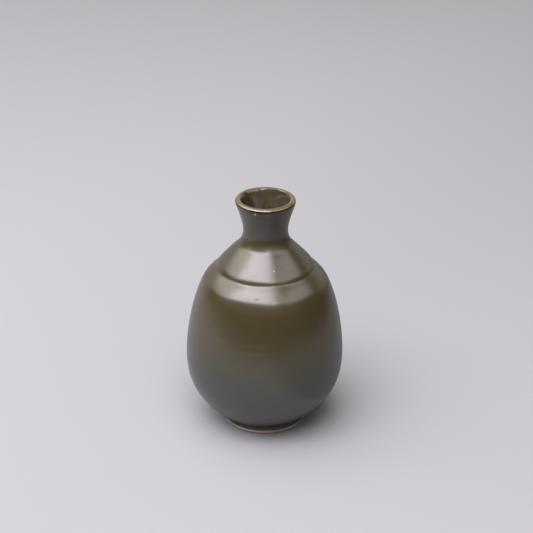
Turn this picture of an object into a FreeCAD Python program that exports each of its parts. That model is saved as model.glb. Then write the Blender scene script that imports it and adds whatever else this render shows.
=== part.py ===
import FreeCAD, Part
import math
import os

# Sake bottle (tokkuri): a squat, egg-shaped ceramic flask with a stepped shoulder,
# a short flared neck and a low turned foot. All lengths are millimetres.
# Frame: +Z runs up the bottle's axis of revolution, and the origin is the centre of
# the foot's underside, on the surface that the bottle stands on.
# Every outline below is drawn in the XZ plane as radius and height. It travels from
# the foot up the outside, over the lip and down the inside, so that the clay always
# lies on the left of the direction of travel.

# ---- driving dimensions ----
height = 125.0             # overall, foot to the top of the lip
belly_radius = 40.6        # widest point of the body
belly_height = 39.6        # height of the widest point
glaze = 0.4                # thickness of every glaze coat

# foot
foot_radius = 22.1         # outside of the glazed part of the foot wall
foot_width = 4.3           # radial width of the bare clay ring
foot_height = 4.0          # height of the ring, and depth of the hollow under the floor
foot_bevel = 0.9           # wiped edges of the ring
glaze_line = 2.3           # height at which the outer glaze stops above the table
heel_height = 4.0          # height at which the foot wall bends out into the belly
heel_fillet = 0.8          # concave corner between the foot wall and the belly
heel_angle = -52.0         # elevation of the belly's outward normal at the heel

# step between the belly and the shoulder
step_radius = 25.4        # where the rolled top edge of the belly ends
step_height = 87.6
step_roll_angle = 50.0     # elevation of the normal on the roll, at the step
step_fillet = 3.0          # concave groove of the step
shoulder_angle = 24.0      # elevation of the normal on the shoulder, at the step
shoulder_crown_radius = 22.9   # where the shoulder starts to turn down to the step
shoulder_crown_height = 91.1

# neck
waist_radius = 11.3        # narrowest outside radius of the neck
waist_height = 107.7
neck_base_bend = 10.6      # radius of the sweep from the shoulder into the neck
neck_base_angle = 43.5     # elevation of the normal where the shoulder meets that sweep
flare_angle = -21.0        # elevation of the outside normal just below the lip

# lip
lip_round = 1.6            # half the wall at the mouth, which is also the lip's rounding
lip_radius = 15.2          # outermost radius of the lip
lip_inner_edge = 130.0     # polar angle on the lip where the metallic band ends inside

# inside
throat_radius = 7.85       # short cylindrical stretch in the neck
throat_top = 110.0
throat_bottom = 105.0
throat_bend = 8.0          # sweep from the throat into the chamber
wall = 4.0                 # belly and shoulder, both glazes included
floor_top = 8.0
chamber_joint_radius = 22.0
chamber_joint_height = 85.9
chamber_joint_angle = -50.0

# ---- values that follow ----
lip_centre_radius = lip_radius - lip_round
lip_centre_height = height - lip_round
clay_foot_radius = foot_radius - glaze
hollow_radius = clay_foot_radius - foot_width


def at(radius, level):
    """A point of the outline."""
    return FreeCAD.Vector(radius, 0, level)


def heading(degrees):
    """The unit vector that makes this angle with the radius."""
    turn = math.radians(degrees)
    return FreeCAD.Vector(math.cos(turn), 0, math.sin(turn))


def line(start, end):
    return Part.LineSegment(start, end)


def bend(centre, radius, first, last):
    """An arc about centre, from the polar angle first to last in degrees."""
    middle = (first + last) / 2
    points = [centre + heading(angle) * radius for angle in (first, middle, last)]
    return Part.Arc(*points)


def through(points, first, last):
    """A smooth curve through points that leaves along first and arrives along last."""
    curve = Part.BSplineCurve()
    curve.interpolate(Points=points, InitialTangent=heading(first), FinalTangent=heading(last))
    return curve


def inset(curve, depth, stations=16):
    """The same curve moved depth into the clay, which is on its left."""
    first = curve.FirstParameter
    span = curve.LastParameter - first
    points = []
    for index in range(stations + 1):
        where = first + span * index / stations
        along = curve.tangent(where)[0]
        left = FreeCAD.Vector(-along.z, 0, along.x)
        points.append(curve.value(where) + left * depth)
    start = curve.tangent(curve.FirstParameter)[0]
    end = curve.tangent(curve.LastParameter)[0]
    moved = Part.BSplineCurve()
    moved.interpolate(Points=points, InitialTangent=start, FinalTangent=end)
    return moved


def ends(curves):
    """The first and the last point of a run of curves."""
    return curves[0].StartPoint, curves[-1].EndPoint


def ring_solid(curves):
    """Closes the run of curves with a straight edge where needed and turns it about Z."""
    edges = [curve.toShape() for curve in curves]
    first, last = ends(curves)
    if first.distanceToPoint(last) > 1e-6:
        edges.append(line(last, first).toShape())
    wire = Part.Wire(Part.__sortEdges__(edges))
    face = Part.Face(wire)
    solid = face.revolve(FreeCAD.Vector(0, 0, 0), FreeCAD.Vector(0, 0, 1), 360)
    return solid.Solids[0] if solid.ShapeType != "Solid" else solid


def backwards(curves):
    """The same run of curves travelled the other way."""
    turned = []
    for curve in reversed(curves):
        copy = curve.copy()
        copy.reverse()
        turned.append(copy)
    return turned


# ---- the outline's stretches, at any depth below the glazed surface ----
def heel(depth):
    """Concave corner where the belly lifts off the foot wall."""
    centre = at(foot_radius + heel_fillet, heel_height)
    return bend(centre, heel_fillet + depth, 180, 180 + heel_angle)


def belly(depth):
    """Egg-shaped body from the heel to the rolled edge under the step."""
    start = heel(0).EndPoint
    points = [
        start,
        at(32.5, 14.0),
        at(36.6, 20.0),
        at(39.6, 28.3),
        at(belly_radius, belly_height),
        at(39.65, 52.0),
        at(37.45, 64.0),
        at(35.2, 72.0),
        at(32.0, 80.0),
        at(30.8, 82.0),
        at(28.9, 84.15),
        at(step_radius, step_height),
    ]
    curve = through(points, heel_angle + 90, step_roll_angle + 90)
    return inset(curve, depth) if depth else curve


def step(depth):
    """Shallow groove between the roll and the shoulder."""
    centre = at(step_radius, step_height) + heading(step_roll_angle) * step_fillet
    return bend(centre, step_fillet + depth, step_roll_angle + 180, shoulder_angle + 180)


def neck_base(depth):
    """Concave sweep from the shoulder up to the waist of the neck."""
    centre = at(waist_radius + neck_base_bend, waist_height)
    return bend(centre, neck_base_bend + depth, 180 + neck_base_angle, 180)


def shoulder(depth):
    """Slightly crowned cone between the step and the neck."""
    points = [
        step(0).EndPoint,
        at(shoulder_crown_radius, shoulder_crown_height),
        neck_base(0).StartPoint,
    ]
    curve = through(points, shoulder_angle + 90, neck_base_angle + 90)
    return inset(curve, depth) if depth else curve


def flare(depth):
    """Neck that opens from the waist to the lip."""
    centre = at(lip_centre_radius, lip_centre_height)
    points = [
        at(waist_radius, waist_height),
        at(12.5, 115.0),
        centre + heading(flare_angle) * lip_round,
    ]
    curve = through(points, 90, flare_angle + 90)
    return inset(curve, depth) if depth else curve


def lip(depth, first=flare_angle, last=180 + flare_angle):
    """Rounded edge of the mouth between two polar angles."""
    centre = at(lip_centre_radius, lip_centre_height)
    return bend(centre, lip_round - depth, first, last)


def funnel(depth):
    """Inside of the neck, from the lip down to the throat."""
    points = [
        lip(0).EndPoint,
        at(9.3, 115.9),
        at(throat_radius, throat_top),
    ]
    curve = through(points, flare_angle - 90, -90)
    return inset(curve, depth) if depth else curve


def throat(depth):
    """Cylindrical stretch that a stopper or a pourer would sit in."""
    radius = throat_radius + depth
    return line(at(radius, throat_top), at(radius, throat_bottom))


def throat_base(depth):
    """Sweep from the throat out into the chamber."""
    centre = at(throat_radius + throat_bend, throat_bottom)
    return bend(centre, throat_bend - depth, 180, 180 + neck_base_angle)


def upper_chamber(depth):
    """Inside of the shoulder."""
    points = [throat_base(0).EndPoint, at(chamber_joint_radius, chamber_joint_height)]
    curve = through(points, neck_base_angle - 90, chamber_joint_angle)
    return inset(curve, depth) if depth else curve


def lower_chamber(depth):
    """Inside of the belly, down to the middle of the floor."""
    points = [
        at(chamber_joint_radius, chamber_joint_height),
        at(31.3, 71.0),
        at(belly_radius - wall, belly_height),
        at(32.9, 21.5),
        at(25.0, 12.2),
        at(13.0, floor_top + 0.6),
        at(0, floor_top),
    ]
    curve = through(points, chamber_joint_angle, 180)
    return inset(curve, depth) if depth else curve


# ---- the pieces ----
def lower_body():
    """Thrown lower section: belly wall and floor."""
    outside = [belly(glaze)]
    groove_start = outside[-1].EndPoint
    inside = [lower_chamber(glaze)]
    joint = line(groove_start, inside[0].StartPoint)
    underside = [line(at(0, foot_height), at(clay_foot_radius, foot_height))]
    ledge = line(underside[-1].EndPoint, outside[0].StartPoint)
    return ring_solid(underside + [ledge] + outside + [joint] + inside)


def upper_body():
    """Thrown upper section: shoulder, neck and lip, luted on at the step."""
    outside = [step(glaze), shoulder(glaze), neck_base(glaze), flare(glaze), lip(glaze)]
    inside = [funnel(glaze), throat(glaze), throat_base(glaze), upper_chamber(glaze)]
    return ring_solid(outside + inside)


def foot_ring():
    """Turned clay ring under the floor, bare where the bottle stands."""
    corners = [
        at(hollow_radius, foot_height),
        at(hollow_radius, foot_bevel),
        at(hollow_radius + foot_bevel, 0),
        at(clay_foot_radius - foot_bevel, 0),
        at(clay_foot_radius, foot_bevel),
        at(clay_foot_radius, foot_height),
    ]
    sides = [line(a, b) for a, b in zip(corners, corners[1:])]
    return ring_solid(sides)


def outer_glaze():
    """Coat over the foot wall, belly, step, shoulder and neck, up to the lip."""
    wall_foot = line(at(foot_radius, glaze_line), heel(0).StartPoint)
    collar = lip(0, flare_angle, 0)
    outside = [wall_foot, heel(0), belly(0), step(0), shoulder(0), neck_base(0), flare(0), collar]
    under = [belly(glaze), step(glaze), shoulder(glaze), neck_base(glaze), flare(glaze)]
    under.append(lip(glaze, flare_angle, 0))
    back = backwards(under)
    top = line(collar.EndPoint, back[0].StartPoint)
    ledge_corner = at(clay_foot_radius, foot_height)
    ledge = line(back[-1].EndPoint, ledge_corner)
    ring_side = line(ledge_corner, at(clay_foot_radius, glaze_line))
    return ring_solid(outside + [top] + back + [ledge, ring_side])


def lip_glaze():
    """Thin metallic coat over the rounded lip."""
    outside = lip(0, 0, lip_inner_edge)
    under = backwards([lip(glaze, 0, lip_inner_edge)])
    edge = line(outside.EndPoint, under[0].StartPoint)
    return ring_solid([outside, edge] + under)


def inner_glaze():
    """Coat that lines the mouth, the throat and the chamber."""
    rim = lip(0, lip_inner_edge, 180 + flare_angle)
    face = [rim, funnel(0), throat(0), throat_base(0), upper_chamber(0), lower_chamber(0)]
    under = [lip(glaze, lip_inner_edge, 180 + flare_angle), funnel(glaze), throat(glaze)]
    under += [throat_base(glaze), upper_chamber(glaze), lower_chamber(glaze)]
    back = backwards(under)
    axis = line(face[-1].EndPoint, back[0].StartPoint)
    return ring_solid(face + [axis] + back)


def base_glaze():
    """Coat on the floor's underside, inside the foot ring."""
    corners = [
        at(0, foot_height),
        at(0, foot_height - glaze),
        at(hollow_radius, foot_height - glaze),
        at(hollow_radius, foot_height),
    ]
    sides = [line(a, b) for a, b in zip(corners, corners[1:])]
    return ring_solid(sides)


def main():
    pieces = {
        "lower_body": lower_body(),
        "upper_body": upper_body(),
        "foot_ring": foot_ring(),
        "outer_glaze": outer_glaze(),
        "lip_glaze": lip_glaze(),
        "inner_glaze": inner_glaze(),
        "base_glaze": base_glaze(),
    }
    os.makedirs("parts", exist_ok=True)
    for name, shape in pieces.items():
        box = shape.optimalBoundingBox()
        print(name, shape.ShapeType, shape.isValid(), round(shape.Volume / 1000, 2), "ml",
              round(box.XLength, 2), round(box.ZMin, 2), round(box.ZMax, 2))
        shape.exportStep("parts/%s.step" % name)


main()
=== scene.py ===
"""Sake bottle under a satin lustre glaze: its finished look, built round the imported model.

Lengths are metres in the model's own frame unless a name ends in _mm. Each coat of glaze
and each bare clay surface is a turned shell whose cross-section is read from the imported
piece that it stands for, with the small unevenness of hand work added to the side that
shows.
"""

import logging
import math
import sys
from dataclasses import dataclass
from enum import Enum
from typing import NamedTuple, Protocol

import bmesh
import bpy
import numpy as np
from mathutils import Matrix, Vector, noise

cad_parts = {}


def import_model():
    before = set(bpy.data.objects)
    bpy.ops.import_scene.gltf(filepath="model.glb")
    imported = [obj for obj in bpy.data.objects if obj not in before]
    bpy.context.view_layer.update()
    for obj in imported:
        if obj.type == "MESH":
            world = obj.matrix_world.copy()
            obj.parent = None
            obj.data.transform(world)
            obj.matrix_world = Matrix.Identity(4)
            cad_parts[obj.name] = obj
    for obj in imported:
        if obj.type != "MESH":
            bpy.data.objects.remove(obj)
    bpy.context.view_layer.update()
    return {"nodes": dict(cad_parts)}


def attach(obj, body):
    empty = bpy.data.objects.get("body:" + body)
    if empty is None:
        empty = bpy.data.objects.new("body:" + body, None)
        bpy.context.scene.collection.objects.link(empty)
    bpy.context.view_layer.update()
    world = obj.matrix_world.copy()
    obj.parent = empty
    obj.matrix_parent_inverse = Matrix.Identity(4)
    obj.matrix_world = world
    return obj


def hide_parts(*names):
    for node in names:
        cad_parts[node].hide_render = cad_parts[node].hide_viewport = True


LOG = logging.getLogger("sake_bottle")
MM = 0.001
TURN = 2.0 * math.pi

Point = tuple[float, float]
Span = tuple[float, float]
Triple = tuple[float, float, float]
Colour = Triple
Socket = bpy.types.NodeSocket

# Seam points are matched to this many decimals of a metre.
SEAM_DIGITS = 7
ON_SEAM = 10.0**-SEAM_DIGITS

# A ring of a smaller radius shrinks to one point on the axis.
ON_AXIS = 1e-6

# How far a unit normal has to point outwards or down, towards the axis, or up to be shown.
FACES_OUT = 0.05
FACES_AXIS = 0.02
FACES_UP = 0.9

# Where a ramp starts and ends, in the value that it maps and in what it gives.
RISING: Span = (0.0, 1.0)
FALLING: Span = (1.0, 0.0)
MARK_EDGE: Span = (0.6, 1.0)
MOST_NOISE: Span = (0.3, 0.7)
MID_NOISE: Span = (0.35, 0.65)

# The colour sockets of a Mix node, which has others of the same names for other kinds of value.
MIX_A, MIX_B, MIX_RESULT = 6, 7, 2


class Face(Enum):
    """Which side of a turned shell the eye sees."""

    OUTWARD = "outward"
    INWARD = "inward"
    DOWNWARD = "downward"

    def shows(self, normal: Vector) -> bool:
        """Tells the shown side of a shell from the side that lies on the clay.

        Args:
            normal: The surface's unit normal in the section's plane.

        Returns:
            True where the surface shows.
        """
        if self is Face.OUTWARD:
            return normal.x > FACES_OUT
        if self is Face.INWARD:
            return normal.x < -FACES_AXIS or normal.y > FACES_UP
        return normal.y < -FACES_OUT


class Maths(Enum):
    """The arithmetic that joins two values of a material."""

    ADD = "ADD"
    SUBTRACT = "SUBTRACT"
    MULTIPLY = "MULTIPLY"


# --------------------------------------------------------------------------- outlines
def outward(a: Point, b: Point) -> Vector:
    """The unit normal of an outline that runs from a to b, with the solid on its left."""
    return Vector((b[1] - a[1], a[0] - b[0])).normalized()


def seam_links(mesh: bpy.types.Mesh) -> dict[Point, set[Point]]:
    """Finds the edges on the seam of a turned mesh, where its section crosses the XZ plane.

    Args:
        mesh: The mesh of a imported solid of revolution.

    Returns:
        For each seam point, as radius and height, the points that its edges lead to.
    """
    on_seam = {
        v.index: (round(v.co.x, SEAM_DIGITS), round(v.co.z, SEAM_DIGITS))
        for v in mesh.vertices
        if abs(v.co.y) < ON_SEAM and v.co.x > -ON_SEAM
    }
    links: dict[Point, set[Point]] = {}
    for edge in mesh.edges:
        a, b = (on_seam.get(i) for i in edge.vertices)
        if a is not None and b is not None and a != b:
            links.setdefault(a, set()).add(b)
            links.setdefault(b, set()).add(a)
    return links


@dataclass(frozen=True)
class Outline:
    """Cross-section of a turned piece: radius and height, with the solid on the left."""

    points: tuple[Point, ...]
    closed: bool

    @classmethod
    def of_node(cls, node: bpy.types.Object) -> "Outline":
        """Reads the cross-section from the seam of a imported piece.

        Args:
            node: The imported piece, a solid of revolution whose seam lies in the XZ plane.

        Returns:
            The outline in travelling order, up the outside and down the inside.
        """
        links = seam_links(node.data)
        tips = sorted((p for p, near in links.items() if len(near) == 1), key=lambda p: p[1])
        here = tips[0] if tips else min(links, key=lambda p: (p[1], -p[0]))
        walk = [here]
        seen = {here}
        while ahead := [p for p in links[here] if p not in seen]:
            last = here
            here = min(ahead, key=lambda p: math.dist(p, last))
            seen.add(here)
            walk.append(here)
        area = sum(a[0] * b[1] - b[0] * a[1] for a, b in zip(walk, walk[1:] + walk[:1]))
        if area < 0:
            walk.reverse()
        return cls(tuple(walk), not tips)

    def turn_at(self, i: int) -> float:
        """How sharply the outline turns at one of its points.

        Args:
            i: The point's place in the outline.

        Returns:
            The turn in degrees.
        """
        a, b, c = self.points[i - 1], self.points[i], self.points[(i + 1) % len(self.points)]
        into = math.atan2(b[1] - a[1], b[0] - a[0])
        away = math.atan2(c[1] - b[1], c[0] - b[0])
        return math.degrees(abs((away - into + math.pi) % TURN - math.pi))

    def runs(self, corner_degrees: float) -> list[list[Point]]:
        """Splits the outline at its corners.

        Args:
            corner_degrees: The turn, in degrees, above which a point is a corner.

        Returns:
            The smooth runs in order, each with both of its end points.
        """
        count = len(self.points)
        tips = () if self.closed else (0, count - 1)
        corners = [i for i in range(count) if i in tips or self.turn_at(i) > corner_degrees]
        if self.closed:
            corners.append(corners[0] + count)
        return [
            [self.points[k % count] for k in range(a, b + 1)] for a, b in zip(corners, corners[1:])
        ]


def smooth_run(run: list[Point], spacing: float) -> list[Point]:
    """Lays evenly spaced points on the natural cubic spline through a run.

    Args:
        run: Points of one smooth stretch of an outline.
        spacing: The distance wanted between neighbours.

    Returns:
        The new points, with the run's own first and last point.
    """
    xy = np.array(run)
    chord = np.hypot(*np.diff(xy, axis=0).T)
    at = np.concatenate([[0.0], np.cumsum(chord)])
    steps = max(1, round(at[-1] / spacing))
    where = np.linspace(0.0, at[-1], steps + 1)
    size = len(run)
    if size < 3:
        return [tuple(p) for p in np.stack([np.interp(where, at, xy[:, k]) for k in (0, 1)], 1)]
    system = np.zeros((size, size))
    system[0, 0] = system[-1, -1] = 1.0
    pull = np.zeros((size, 2))
    for i in range(1, size - 1):
        before, after = chord[i - 1], chord[i]
        system[i, i - 1 : i + 2] = before, 2.0 * (before + after), after
        pull[i] = 6.0 * ((xy[i + 1] - xy[i]) / after - (xy[i] - xy[i - 1]) / before)
    bend = np.linalg.solve(system, pull)
    out = []
    for w in where:
        i = min(int(np.searchsorted(at, w, side="right")) - 1, size - 2)
        gap = chord[i]
        t = (w - at[i]) / gap
        u = 1.0 - t
        curve = gap * gap / 6.0 * ((u**3 - u) * bend[i] + (t**3 - t) * bend[i + 1])
        out.append(tuple(u * xy[i] + t * xy[i + 1] + curve))
    return out


# --------------------------------------------------------------------------- materials
@dataclass(frozen=True)
class Grain:
    """A noise pattern: blotches along a metre, octaves of finer noise, and their strength."""

    per_metre: float
    detail: float = 3.0
    roughness: float = 0.5


@dataclass(frozen=True)
class Mark:
    """A small soft-edged ellipsoid: its middle and its half size along each axis."""

    centre: Triple
    reach: Triple


class Shading:
    """A material's node tree with short words for the nodes that the finishes share."""

    def __init__(self, name: str) -> None:
        """Starts an empty node material with one Principled shader.

        Args:
            name: The material's name.
        """
        self.material = bpy.data.materials.new(name)
        self.material.use_nodes = True
        self.tree = self.material.node_tree
        self.tree.nodes.clear()
        self.shader = self.tree.nodes.new("ShaderNodeBsdfPrincipled")
        output = self.tree.nodes.new("ShaderNodeOutputMaterial")
        self.link(self.shader.outputs["BSDF"], output.inputs["Surface"])
        self.place = self.tree.nodes.new("ShaderNodeTexCoord").outputs["Object"]

    def link(self, source: Socket, target: Socket) -> None:
        """Joins two sockets."""
        self.tree.links.new(source, target)

    def feed(self, source: Socket, socket: str) -> None:
        """Joins a value to one of the shader's own sockets."""
        self.link(source, self.shader.inputs[socket])

    def set(self, **values: float | Colour) -> None:
        """Sets constants on the shader's own sockets.

        Args:
            **values: A number or a colour for each socket; underscores stand for spaces.
        """
        for key, value in values.items():
            socket = self.shader.inputs[key.replace("_", " ")]
            socket.default_value = (*value, 1.0) if isinstance(value, tuple) else value

    def mapped(self, scale: Triple, shift: Triple = (0.0, 0.0, 0.0)) -> Socket:
        """Scales and shifts the piece's own coordinates.

        Args:
            scale: The factor along each axis.
            shift: What is then added along each axis.

        Returns:
            The new coordinates.
        """
        node = self.tree.nodes.new("ShaderNodeMapping")
        node.inputs["Scale"].default_value = scale
        node.inputs["Location"].default_value = shift
        self.link(self.place, node.inputs["Vector"])
        return node.outputs["Vector"]

    def noise(self, grain: Grain, where: Socket | None = None) -> Socket:
        """Adds a noise texture.

        Args:
            grain: The pattern.
            where: The coordinates; the piece's own when left out.

        Returns:
            The grey value of the noise.
        """
        node = self.tree.nodes.new("ShaderNodeTexNoise")
        node.inputs["Scale"].default_value = grain.per_metre
        node.inputs["Detail"].default_value = grain.detail
        node.inputs["Roughness"].default_value = grain.roughness
        self.link(where or self.place, node.inputs["Vector"])
        return node.outputs["Fac"]

    def ramp(self, value: Socket, span: Span, out: Span = RISING) -> Socket:
        """Maps a range of a value smoothly onto another range, clamped.

        Args:
            value: The value to map.
            span: Where the input range starts and ends.
            out: The results at those two ends.

        Returns:
            The mapped value.
        """
        node = self.tree.nodes.new("ShaderNodeMapRange")
        node.interpolation_type = "SMOOTHSTEP"
        for socket, number in zip(("From Min", "From Max", "To Min", "To Max"), span + out):
            node.inputs[socket].default_value = number
        self.link(value, node.inputs["Value"])
        return node.outputs["Result"]

    def maths(self, operation: Maths, a: Socket, b: Socket | float) -> Socket:
        """Joins two values with one arithmetic operation.

        Args:
            operation: The operation.
            a: The first value.
            b: The second value, a socket or a number.

        Returns:
            The result.
        """
        node = self.tree.nodes.new("ShaderNodeMath")
        node.operation = operation.value
        self.link(a, node.inputs[0])
        if isinstance(b, float):
            node.inputs[1].default_value = b
        else:
            self.link(b, node.inputs[1])
        return node.outputs[0]

    def along(self, direction: Triple) -> Socket:
        """Measures how far a point lies along a direction.

        Args:
            direction: The direction; its length multiplies the result.

        Returns:
            The distance times that length.
        """
        node = self.tree.nodes.new("ShaderNodeVectorMath")
        node.operation = "DOT_PRODUCT"
        node.inputs[1].default_value = direction
        self.link(self.place, node.inputs[0])
        return node.outputs["Value"]

    def height(self) -> Socket:
        """Height above the table."""
        return self.along((0.0, 0.0, 1.0))

    def mix(self, factor: Socket, a: Socket | Colour, b: Socket | Colour) -> Socket:
        """Blends two colours.

        Args:
            factor: How much of the second colour shows, 0 to 1.
            a: The first colour.
            b: The second colour.

        Returns:
            The blend.
        """
        node = self.tree.nodes.new("ShaderNodeMix")
        node.data_type = "RGBA"
        self.link(factor, node.inputs["Factor"])
        for socket, colour in ((node.inputs[MIX_A], a), (node.inputs[MIX_B], b)):
            if isinstance(colour, tuple):
                socket.default_value = (*colour, 1.0)
            else:
                self.link(colour, socket)
        return node.outputs[MIX_RESULT]

    def spot(self, mark: Mark) -> Socket:
        """Shows where a mark lies.

        Args:
            mark: The mark, in the model's frame.

        Returns:
            A mask that is 1 inside and 0 outside.
        """
        scale = tuple(1.0 / r for r in mark.reach)
        shift = tuple(-c / r for c, r in zip(mark.centre, mark.reach))
        length = self.tree.nodes.new("ShaderNodeVectorMath")
        length.operation = "LENGTH"
        self.link(self.mapped(scale, shift), length.inputs[0])
        return self.ramp(length.outputs["Value"], MARK_EDGE, FALLING)

    def bump(self, relief: Socket, depth: float) -> None:
        """Turns a grey value into fine relief on the shader's normal.

        Args:
            relief: The grey value.
            depth: The height, in metres, between grey 0 and grey 1.
        """
        node = self.tree.nodes.new("ShaderNodeBump")
        node.inputs["Strength"].default_value = 1.0
        node.inputs["Distance"].default_value = depth
        self.link(relief, node.inputs["Height"])
        self.feed(node.outputs["Normal"], "Normal")


class Finish(Protocol):
    """A surface finish that can make its own material."""

    def make(self) -> bpy.types.Material:
        """Builds the material."""


@dataclass(frozen=True)
class LustreGlaze:
    """Satin, faintly metallic olive glaze: slate low down, partly painted floor reflection; darker by
    the foot, partly pooled glaze and partly painted shade; a painted shade line under the lip.
    """

    name: str = "satin_lustre_glaze"
    olive: Colour = (0.034, 0.0255, 0.0075)
    # slate: a cooler glaze tone low on the belly, partly a painted reflection of the pale floor.
    slate_and_floor_reflection: Colour = (0.0180, 0.0225, 0.0145)
    umber: Colour = (0.018, 0.014, 0.009)
    fleck: Colour = (0.062, 0.047, 0.026)
    # iron: near-black brown, used on the body for the painted shade under the lip and, with pooled
    # glaze, near the foot.
    iron: Colour = (0.012, 0.007, 0.004)
    rose: Colour = (1.0, 0.90, 0.95)
    silver: Colour = (0.92, 0.98, 0.99)
    bead: Colour = (0.50, 0.44, 0.33)
    # Darker near the foot: partly glaze pooled there, partly painted shade where the underside faces the
    # shadowed table.
    foot_pool_and_shade: Span = (6.5 * MM, 12.5 * MM)
    reflection_to_olive: Span = (30.0 * MM, 62.0 * MM)
    neck_start: Span = (104.0 * MM, 110.0 * MM)
    # Painted shade: the top of the body coat, just under the lip, turns near-black.
    lip_shade_line: Span = (122.5 * MM, 122.9 * MM)
    clouds: Grain = Grain(38.0, 3.0, 0.55)
    cloud_shift: float = 30.0 * MM
    flecks: Grain = Grain(1500.0, 2.0, 0.6)
    fleck_span: Span = (0.56, 0.74)
    fleck_share: float = 0.12
    shimmer: Grain = Grain(480.0, 2.0, 0.6)
    shimmer_span: Span = (0.36, 0.64)
    mottle: Grain = Grain(900.0, 3.0, 0.65)
    mottle_depth: float = 0.007 * MM
    satin: Span = (0.285, 0.325)
    ior: float = 1.86
    lip_speck: Mark = Mark(
        centre=(-5.0 * MM, -13.9 * MM, 122.3 * MM), reach=(0.55 * MM, 1.2 * MM, 0.6 * MM)
    )
    pinhole: Mark = Mark(
        centre=(4.5 * MM, -19.2 * MM, 94.1 * MM), reach=(0.3 * MM, 1.2 * MM, 0.3 * MM)
    )
    hairline: Mark = Mark(
        centre=(-4.1 * MM, -29.7 * MM, 83.2 * MM), reach=(2.0 * MM, 2.0 * MM, 0.24 * MM)
    )
    hairline_roughness: float = 0.35

    def body_colour(self, s: Shading) -> Socket:
        """Runs the glaze's colours up the bottle: brown foot (partly painted shade), slate (partly
        painted floor reflection), olive, umber neck and a painted shade line under the lip.

        Args:
            s: The material being built.

        Returns:
            The colour.
        """
        z = s.height()
        clouds = s.maths(Maths.SUBTRACT, s.noise(self.clouds), 0.5)
        level = s.maths(Maths.ADD, z, s.maths(Maths.MULTIPLY, clouds, self.cloud_shift))
        # Low on the belly the colour turns to slate, partly a painted reflection of the pale floor.
        body = s.mix(s.ramp(level, self.reflection_to_olive), self.slate_and_floor_reflection, self.olive)
        necked = s.mix(s.ramp(z, self.neck_start), body, self.umber)
        flecks = s.ramp(s.noise(self.flecks), self.fleck_span)
        flecked = s.mix(s.maths(Maths.MULTIPLY, flecks, self.fleck_share), necked, self.fleck)
        # Near the foot the colour darkens to iron brown: partly pooled glaze, partly painted shade.
        foot_darkened = s.mix(s.ramp(z, self.foot_pool_and_shade, FALLING), flecked, self.iron)
        # Painted shade line just under the lip.
        return s.mix(s.ramp(z, self.lip_shade_line), foot_darkened, self.iron)

    def make(self) -> bpy.types.Material:
        """Builds the material, with the few marks that the firing left on the front.

        Returns:
            The material.
        """
        s = Shading(self.name)
        speckled = s.mix(s.spot(self.lip_speck), self.body_colour(s), self.bead)
        s.feed(s.mix(s.spot(self.pinhole), speckled, self.bead), "Base Color")
        shimmer = s.ramp(s.noise(self.shimmer), self.shimmer_span)
        s.feed(s.mix(shimmer, self.rose, self.silver), "Specular Tint")
        mottle = s.noise(self.mottle)
        scratch = s.maths(Maths.MULTIPLY, s.spot(self.hairline), self.hairline_roughness)
        s.feed(s.maths(Maths.ADD, s.ramp(mottle, MOST_NOISE, self.satin), scratch), "Roughness")
        s.set(IOR=self.ior, Metallic=0.0)
        s.bump(mottle, self.mottle_depth)
        return s.material


@dataclass(frozen=True)
class RimBronze:
    """Thin glaze over the lip, broken to a warm bronze with a soft metallic shine, and near-black along
    its lower edge as painted shade.
    """

    name: str = "bronze_rim_glaze"
    gold: Colour = (0.112, 0.082, 0.034)
    rose: Colour = (0.104, 0.077, 0.044)
    # iron: the near-black painted shade along the band's lower edge, under the lip's roll.
    iron: Colour = (0.012, 0.007, 0.004)
    shade_to_bronze: Span = (123.9 * MM, 124.3 * MM)
    clouds: Grain = Grain(220.0, 4.0, 0.6)
    sheen_grain: Grain = Grain(900.0, 2.0)
    sheen: Span = (0.18, 0.25)
    tooth: Grain = Grain(1200.0, 2.0)
    tooth_depth: float = 0.01 * MM
    metallic: float = 0.25
    ior: float = 2.05

    def make(self) -> bpy.types.Material:
        """Builds the material.

        Returns:
            The material.
        """
        s = Shading(self.name)
        bronze = s.mix(s.ramp(s.noise(self.clouds), MID_NOISE), self.gold, self.rose)
        # Painted shade: below the bronze the band turns near-black.
        s.feed(s.mix(s.ramp(s.height(), self.shade_to_bronze), self.iron, bronze), "Base Color")
        s.feed(s.ramp(s.noise(self.sheen_grain), MOST_NOISE, self.sheen), "Roughness")
        s.set(Metallic=self.metallic, IOR=self.ior)
        s.bump(s.noise(self.tooth), self.tooth_depth)
        return s.material


@dataclass(frozen=True)
class LinerGlaze:
    """Glossy olive-brown glaze that was poured in and out again."""

    name: str = "glossy_liner_glaze"
    olive: Colour = (0.042, 0.034, 0.018)
    brown: Colour = (0.026, 0.019, 0.011)
    streaks: Grain = Grain(160.0, 3.0, 0.55)
    streak_stretch: Triple = (1.0, 1.0, 0.3)
    gloss_grain: Grain = Grain(500.0)
    gloss: Span = (0.12, 0.24)
    ripple: Grain = Grain(700.0, 2.0)
    ripple_depth: float = 0.04 * MM
    ior: float = 1.8

    def make(self) -> bpy.types.Material:
        """Builds the material.

        Returns:
            The material.
        """
        s = Shading(self.name)
        streaks = s.noise(self.streaks, s.mapped(self.streak_stretch))
        s.feed(s.mix(s.ramp(streaks, MID_NOISE), self.olive, self.brown), "Base Color")
        s.feed(s.ramp(s.noise(self.gloss_grain), MOST_NOISE, self.gloss), "Roughness")
        s.set(IOR=self.ior)
        s.bump(s.noise(self.ripple), self.ripple_depth)
        return s.material


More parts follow.
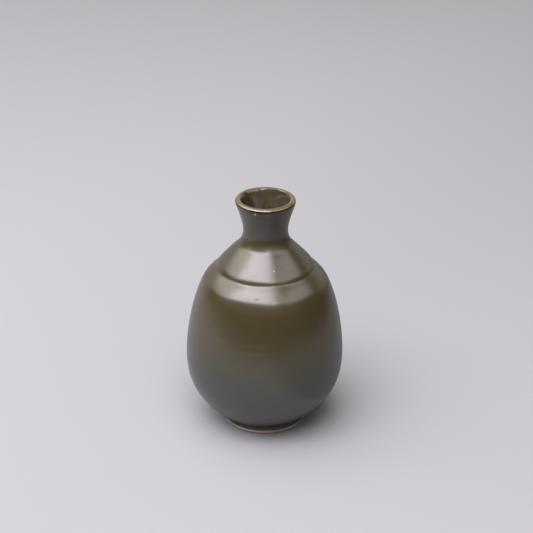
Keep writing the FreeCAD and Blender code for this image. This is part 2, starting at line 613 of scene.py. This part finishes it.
@dataclass(frozen=True)
class BareClay:
    """Unglazed, wiped stoneware: warm tan with iron specks and fine sand."""

    name: str = "bare_stoneware"
    tan: Colour = (0.50, 0.405, 0.315)
    toasted: Colour = (0.36, 0.265, 0.19)
    iron: Colour = (0.07, 0.045, 0.03)
    toast: Grain = Grain(120.0, 4.0, 0.6)
    specks: Grain = Grain(1900.0, 1.0)
    speck_span: Span = (0.68, 0.76)
    matt_grain: Grain = Grain(600.0)
    matt: Span = (0.62, 0.82)
    sand: Grain = Grain(2600.0, 3.0, 0.7)
    sand_depth: float = 0.12 * MM
    ior: float = 1.5

    def make(self) -> bpy.types.Material:
        """Builds the material.

        Returns:
            The material.
        """
        s = Shading(self.name)
        clay = s.mix(s.ramp(s.noise(self.toast), MID_NOISE), self.tan, self.toasted)
        s.feed(s.mix(s.ramp(s.noise(self.specks), self.speck_span), clay, self.iron), "Base Color")
        s.feed(s.ramp(s.noise(self.matt_grain), MOST_NOISE, self.matt), "Roughness")
        s.set(IOR=self.ior)
        s.bump(s.noise(self.sand), self.sand_depth)
        return s.material


@dataclass(frozen=True)
class StudioPaper:
    """Pale matt paper with painted light: it turns paler towards the back and the left."""

    name: str = "studio_paper"
    pale: Colour = (0.238, 0.238, 0.247)
    shade: Colour = (0.231, 0.231, 0.240)
    # far: painted light, the paler paper towards the back and the left.
    far: Colour = (0.256, 0.256, 0.266)
    blotches: Grain = Grain(3.0, 2.0)
    painted_light_towards: Triple = (-1.2, 1.0, 0.0)
    painted_light_span: Span = (0.0, 0.5)
    roughness: float = 0.9
    ior: float = 1.4

    def make(self) -> bpy.types.Material:
        """Builds the material.

        Returns:
            The material.
        """
        s = Shading(self.name)
        near = s.mix(s.noise(self.blotches), self.pale, self.shade)
        # Painted light: the paper turns paler towards the back and the left, standing in for how the
        # light falls.
        paler = s.ramp(s.along(self.painted_light_towards), self.painted_light_span)
        s.feed(s.mix(paler, near, self.far), "Base Color")
        s.set(Roughness=self.roughness, IOR=self.ior)
        return s.material


# --------------------------------------------------------------------------- turned shells
@dataclass(frozen=True)
class Groove:
    """A shallow soft channel turned round the axis."""

    height: float
    half_width: float
    depth: float

    def at(self, height: float) -> float:
        """How deep the channel is at a height."""
        return self.depth * math.exp(-(((height - self.height) / self.half_width) ** 2))


@dataclass(frozen=True)
class Patches:
    """Smooth random highs and lows over a surface: how many lie along a metre and how squat."""

    per_metre: float
    squat: float
    shift: Triple = (0.0, 0.0, 0.0)

    def at(self, x: float, y: float, z: float) -> float:
        """How high the surface is at a place, from -1 to 1."""
        return noise.noise(Vector((x, y, z * self.squat)) * self.per_metre + Vector(self.shift))


@dataclass(frozen=True)
class HandWork:
    """The unevenness that throwing and turning by hand leave on a shell's shown side."""

    ovality: float = 0.06 * MM
    oval_phase: float = 0.7
    ring_pitch: float = 4.6 * MM
    ring_depth: float = 0.018 * MM
    ring_wander: float = 2.0
    ring_strength: Patches = Patches(30.0, 2.0, (5.0, 1.0, 3.0))
    hollows: Patches = Patches(45.0, 1.4)
    hollow_depth: float = 0.05 * MM
    sway_reach: float = 0.18 * MM
    sway_pitch: float = 160.0 * MM
    sway_level: float = 58.0 * MM
    grooves: tuple[Groove, ...] = ()

    def relief(self, angle: float, radius: float, height: float) -> float:
        """How far hand work has moved the surface along its normal.

        Args:
            angle: Angle about the axis, in radians.
            radius: Distance from the axis.
            height: Height above the table.

        Returns:
            The displacement in metres.
        """
        x, y = radius * math.cos(angle), radius * math.sin(angle)
        oval = self.ovality * math.cos(2.0 * angle + self.oval_phase)
        hollow = self.hollows.at(x, y, height)
        spiral = math.sin(TURN * height / self.ring_pitch + angle + self.ring_wander * hollow)
        strength = 0.5 + 0.5 * self.ring_strength.at(x, y, height)
        cut = sum(groove.at(height) for groove in self.grooves)
        return oval + self.hollow_depth * hollow + self.ring_depth * strength * spiral - cut

    def sway(self, angle: float, height: float) -> float:
        """How far a ring of the shell, thrown slightly off centre, stands out sideways.

        Args:
            angle: Angle about the axis, in radians.
            height: Height above the table.

        Returns:
            The change of radius in metres.
        """
        lean = math.sin(TURN * (height - self.sway_level) / self.sway_pitch)
        return self.sway_reach * lean * math.cos(angle)


class Ring(NamedTuple):
    """One ring of a shell: weight is how much hand work moves it, 0 to 1, along the normal."""

    radius: float
    height: float
    weight: float
    normal: Vector


@dataclass(frozen=True)
class TurnedShell:
    """A turned piece of the bottle whose shown side carries the marks of hand work."""

    name: str
    node: str
    slot: str
    shown: Face
    finish: Finish
    work: HandWork = HandWork()
    segments: int = 256
    fine: float = 0.45 * MM
    coarse: float = 1.8 * MM
    corner_degrees: float = 30.0
    fade: float = 1.5 * MM
    sharp_degrees: float = 40.0

    def section(self, outline: Outline) -> list[Ring]:
        """Resamples the outline, finely where it shows and coarsely where it doesn't.

        Hand work fades out at the ends of a run and at the axis, so that the shells still meet.

        Args:
            outline: The cross-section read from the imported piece.

        Returns:
            The rings of the shell in the outline's order.
        """
        rings: list[Ring] = []
        for run in outline.runs(self.corner_degrees):
            middle = len(run) // 2
            shown = self.shown.shows(outward(run[middle - 1], run[middle]))
            points = smooth_run(run, self.fine if shown else self.coarse)
            for i, (radius, height) in enumerate(points[:-1]):
                normal = outward(points[max(i - 1, 0)], points[i + 1])
                to_end = min(math.dist(points[i], run[0]), math.dist(points[i], run[-1]))
                weight = min(to_end / self.fade, 1.0) * min(radius / self.fade, 1.0)
                rings.append(Ring(radius, height, weight if shown else 0.0, normal))
        if not outline.closed:
            radius, height = outline.points[-1]
            rings.append(Ring(radius, height, 0.0, Vector((0.0, 1.0))))
        return rings

    def turn(self, mesh: bmesh.types.BMesh, ring: Ring) -> list[bmesh.types.BMVert]:
        """Lays the vertices of one ring.

        Args:
            mesh: The mesh that gets them.
            ring: The ring.

        Returns:
            The vertices in order of angle, or a single one where the ring is on the axis.
        """
        if ring.radius < ON_AXIS:
            return [mesh.verts.new((0.0, 0.0, ring.height))]
        row = []
        for k in range(self.segments):
            angle = TURN * k / self.segments
            relief = self.work.relief(angle, ring.radius, ring.height) if ring.weight else 0.0
            off = ring.weight * relief
            radius = ring.radius + off * ring.normal.x + ring.weight * self.work.sway(angle, ring.height)
            height = ring.height + off * ring.normal.y
            row.append(mesh.verts.new((radius * math.cos(angle), radius * math.sin(angle), height)))
        return row

    def skin(
        self, mesh: bmesh.types.BMesh, low: list[bmesh.types.BMVert], high: list[bmesh.types.BMVert]
    ) -> None:
        """Joins two neighbouring rows with quads, or with triangles at the axis.

        Args:
            mesh: The mesh that gets the faces.
            low: The row that comes first along the outline.
            high: The row that follows it.
        """
        if len(low) == len(high) == 1:
            return
        for k in range(self.segments):
            j = (k + 1) % self.segments
            corners = (low[k % len(low)], low[j % len(low)], high[j % len(high)], high[k % len(high)])
            mesh.faces.new(tuple(dict.fromkeys(corners)))

    def lathe(self, node: bpy.types.Object) -> bpy.types.Mesh:
        """Makes the shell's mesh.

        Args:
            node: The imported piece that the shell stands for.

        Returns:
            The closed mesh, smooth but for its sharp edges.
        """
        outline = Outline.of_node(node)
        mesh = bmesh.new()
        rows = [self.turn(mesh, ring) for ring in self.section(outline)]
        if outline.closed:
            rows.append(rows[0])
        for low, high in zip(rows, rows[1:]):
            self.skin(mesh, low, high)
        bmesh.ops.recalc_face_normals(mesh, faces=mesh.faces)
        data = bpy.data.meshes.new(self.name)
        mesh.to_mesh(data)
        mesh.free()
        data.shade_smooth()
        data.set_sharp_from_angle(angle=math.radians(self.sharp_degrees))
        return data

    def build(self, node: bpy.types.Object) -> bpy.types.Object:
        """Lathes the shell, dresses it and hangs it on the frame.

        Args:
            node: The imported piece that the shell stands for.

        Returns:
            The finished object.
        """
        piece = bpy.data.objects.new(self.name, self.lathe(node))
        bpy.context.scene.collection.objects.link(piece)
        piece.data.materials.append(self.finish.make())
        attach(piece, "root")
        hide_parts(self.node)
        LOG.info("%s: %d faces", self.name, len(piece.data.polygons))
        return piece


# --------------------------------------------------------------------------- the bottle
@dataclass(frozen=True)
class Bottle:
    """The sake bottle: its glaze coats and bare foot, round the imported clay."""

    nodes: dict[str, bpy.types.Object]
    under_lip: Groove = Groove(height=122.5 * MM, half_width=0.5 * MM, depth=0.16 * MM)
    neck_foot: Groove = Groove(height=100.6 * MM, half_width=1.2 * MM, depth=0.10 * MM)
    step: Groove = Groove(height=86.9 * MM, half_width=2.6 * MM, depth=0.12 * MM)

    def coats(self) -> tuple[TurnedShell, ...]:
        """Lists the turned shells.

        Returns:
            The glaze on the body, on the lip and inside, the bare foot and the glaze under it.
        """
        return (
            TurnedShell(
                "body_coat", "outer_glaze", "lustre_glaze", Face.OUTWARD, LustreGlaze(),
                HandWork(grooves=(self.under_lip, self.neck_foot, self.step)),
            ),
            TurnedShell(
                "lip_band", "lip_glaze", "rim_glaze", Face.OUTWARD, RimBronze(),
                HandWork(hollow_depth=0.03 * MM),
                fine=0.16 * MM, coarse=0.3 * MM, corner_degrees=50.0,
            ),
            TurnedShell(
                "liner_coat", "inner_glaze", "liner_glaze", Face.INWARD, LinerGlaze(),
                segments=192, fine=0.8 * MM, coarse=3.0 * MM,
            ),
            TurnedShell(
                "foot_clay", "foot_ring", "clay", Face.DOWNWARD, BareClay(),
                HandWork(ovality=0.0, ring_depth=0.0),
                fine=0.3 * MM, coarse=0.6 * MM,
            ),
            TurnedShell(
                "base_coat", "base_glaze", "base_glaze", Face.DOWNWARD, LustreGlaze("base_lustre_glaze"),
                fine=0.4 * MM, coarse=2.0 * MM,
            ),
        )

    def build(self) -> None:
        """Builds every shell and dresses the clay that they cover."""
        for coat in self.coats():
            coat.build(self.nodes[coat.node])
        clay = BareClay("hidden_stoneware").make()
        for name in ("lower_body", "upper_body"):
            data = self.nodes[name].data
            data.materials.clear()
            data.materials.append(clay)
            LOG.info("%s: carried over in bare clay", name)


# --------------------------------------------------------------------------- the studio
@dataclass(frozen=True)
class SoftBox:
    """A rectangular diffuser aimed at the bottle.

    The azimuth is counted in degrees from the camera's side towards the right. in_gloss lets
    the box show in reflections, and in_diffuse lets it light matt surfaces.
    """

    name: str
    azimuth: float
    elevation: float
    distance: float
    width: float
    height: float
    radiance: float
    colour: Colour
    in_gloss: bool = True
    in_diffuse: bool = True

    def build(self, target: Vector) -> None:
        """Hangs the box.

        Args:
            target: The point that the box faces.
        """
        turn, rise = math.radians(self.azimuth), math.radians(self.elevation)
        aim = Vector((math.sin(turn) * math.cos(rise), -math.cos(turn) * math.cos(rise), math.sin(rise)))
        light = bpy.data.lights.new(self.name, "AREA")
        light.shape = "RECTANGLE"
        light.size = self.width
        light.size_y = self.height
        light.energy = self.radiance * math.pi * self.width * self.height
        light.color = self.colour
        lamp = bpy.data.objects.new(self.name, light)
        lamp.location = target + aim * self.distance
        lamp.rotation_euler = aim.to_track_quat("Z", "Y").to_euler()
        lamp.visible_camera = False
        lamp.visible_glossy = self.in_gloss
        lamp.visible_diffuse = self.in_diffuse
        bpy.context.scene.collection.objects.link(lamp)
        LOG.info("%s: %.2f by %.2f m", self.name, self.width, self.height)


@dataclass(frozen=True)
class StudioCamera:
    """A long lens above the table, looking down at the bottle; pitch and roll in degrees."""

    lens_mm: float = 101.3
    film_mm: float = 36.0
    pitch: float = 26.5
    roll: float = 0.26
    distance: float = 0.6831
    height: float = 0.4275
    sideways: float = 0.0007
    nearest: float = 0.01

    def build(self) -> None:
        """Places the camera and makes it the scene's own."""
        data = bpy.data.cameras.new("studio_camera")
        data.lens = self.lens_mm
        data.sensor_width = self.film_mm
        data.dof.use_dof = False
        data.clip_start = self.nearest
        camera = bpy.data.objects.new("studio_camera", data)
        tilt = Matrix.Rotation(math.radians(90.0 - self.pitch), 4, "X")
        roll = Matrix.Rotation(math.radians(self.roll), 4, "Z")
        place = Matrix.Translation((self.sideways, -self.distance, self.height))
        camera.matrix_world = place @ tilt @ roll
        bpy.context.scene.collection.objects.link(camera)
        bpy.context.scene.camera = camera
        LOG.info("camera: %.1f mm lens, %.1f degrees down", self.lens_mm, self.pitch)


@dataclass(frozen=True)
class Studio:
    """Table, soft boxes, felt cards and the dark room round them."""

    table_half: float = 3.0
    table_level: float = -0.06 * MM
    card_level: float = 2.0 * MM
    front_card_from: float = 0.32
    side_card_from: float = 0.38
    grey_card_from: float = 0.045
    shade_black_felt: float = 0.012
    shade_grey_felt: float = 0.15
    felt_roughness: float = 0.9
    room: float = 0.02
    ambient: float = 0.24
    horizon: Colour = (0.52, 0.52, 0.55)
    aim_height: float = 90.0 * MM
    boxes: tuple[SoftBox, ...] = (
        SoftBox(
            "key_high", azimuth=-21.5, elevation=66.7, distance=1.25,
            width=1.04, height=0.42, radiance=6.4, colour=(1.0, 0.955, 1.01),
        ),
        SoftBox(
            "key_low", azimuth=-25.0, elevation=50.4, distance=1.25,
            width=1.80, height=0.31, radiance=7.1, colour=(1.0, 0.955, 1.02),
        ),
        SoftBox(
            "right_fill", azimuth=70.0, elevation=42.5, distance=1.5,
            width=1.5, height=0.68, radiance=1.8, colour=(0.97, 0.96, 1.06), in_diffuse=False,
        ),
        SoftBox(
            "left_fill", azimuth=-100.0, elevation=46.0, distance=1.4,
            width=1.4, height=1.1, radiance=2.7, colour=(1.0, 0.98, 0.97), in_diffuse=False,
        ),
        SoftBox(
            "back_wall", azimuth=180.0, elevation=12.0, distance=1.6,
            width=6.0, height=1.2, radiance=0.5, colour=(1.0, 1.0, 1.0), in_diffuse=False,
        ),
        SoftBox(
            "top_fill", azimuth=-58.0, elevation=73.0, distance=1.5,
            width=2.3, height=2.0, radiance=4.45, colour=(1.0, 0.99, 0.99), in_gloss=False,
        ),
    )

    def plane(self, name: str, low: Point, high: Point, height: float) -> bpy.types.Object:
        """Makes a level rectangle that belongs to the studio.

        Args:
            name: The object's name.
            low: Its lowest x and y.
            high: Its highest x and y.
            height: Its height.

        Returns:
            The rectangle.
        """
        data = bpy.data.meshes.new(name)
        corners = [
            (low[0], low[1], height),
            (high[0], low[1], height),
            (high[0], high[1], height),
            (low[0], high[1], height),
        ]
        data.from_pydata(corners, [], [(0, 1, 2, 3)])
        sheet = bpy.data.objects.new(name, data)
        bpy.context.scene.collection.objects.link(sheet)
        return sheet

    def cards(self) -> None:
        """Lays felt cards in front and on the right, seen only in reflections, where they paint shade
        into the glaze's reflection of the table.
        """
        half, front, side = self.table_half, -self.front_card_from, self.side_card_from
        # Painted shade in reflections: black cards in front and on the right, and a grey card for the
        # table's shadowed right side.
        for name, low, high, grey in (
            ("front_shade_flag", (-half, -half), (half, front), self.shade_black_felt),
            ("side_shade_flag", (side, front), (half, half), self.shade_black_felt),
            ("grey_card", (self.grey_card_from, front), (side, half), self.shade_grey_felt),
        ):
            card = self.plane(name, low, high, self.card_level)
            felt = Shading(name + "_felt")
            felt.set(Base_Color=(grey, grey, grey), Roughness=self.felt_roughness)
            card.data.materials.append(felt.material)
            card.visible_camera = False
            card.visible_diffuse = False
            card.visible_shadow = False

    def world(self) -> None:
        """A dark room to the glaze, a dim glow to matt surfaces and a pale wall to the camera."""
        world = bpy.data.worlds.new("studio_room")
        world.use_nodes = True
        tree = world.node_tree
        tree.nodes.clear()
        output = tree.nodes.new("ShaderNodeOutputWorld")
        path = tree.nodes.new("ShaderNodeLightPath")
        seen = tree.nodes.new("ShaderNodeBackground")
        seen.inputs["Color"].default_value = (self.room, self.room, self.room, 1.0)
        for ray, colour in (
            ("Is Diffuse Ray", (self.ambient, self.ambient, self.ambient)),
            ("Is Camera Ray", self.horizon),
        ):
            blend = tree.nodes.new("ShaderNodeMixShader")
            glow = tree.nodes.new("ShaderNodeBackground")
            glow.inputs["Color"].default_value = (*colour, 1.0)
            tree.links.new(path.outputs[ray], blend.inputs[0])
            tree.links.new(seen.outputs[0], blend.inputs[1])
            tree.links.new(glow.outputs[0], blend.inputs[2])
            seen = blend
        tree.links.new(seen.outputs[0], output.inputs["Surface"])
        bpy.context.scene.world = world

    def build(self) -> None:
        """Lays the table and the cards, hangs the soft boxes and darkens the room."""
        half = self.table_half
        table = self.plane("table", (-half, -half), (half, half), self.table_level)
        table.data.materials.append(StudioPaper().make())
        self.cards()
        self.world()
        middle = Vector((0.0, 0.0, self.aim_height))
        for box in self.boxes:
            box.build(middle)
        bpy.context.scene.view_settings.view_transform = "Standard"
        bpy.context.scene.view_settings.look = "None"


def main() -> None:
    """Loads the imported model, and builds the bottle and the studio."""
    logging.basicConfig(level=logging.INFO, format="%(name)s %(message)s", stream=sys.stdout)
    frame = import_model()
    StudioCamera().build()
    Bottle(frame["nodes"]).build()
    Studio().build()


if __name__ == "__main__":
    main()
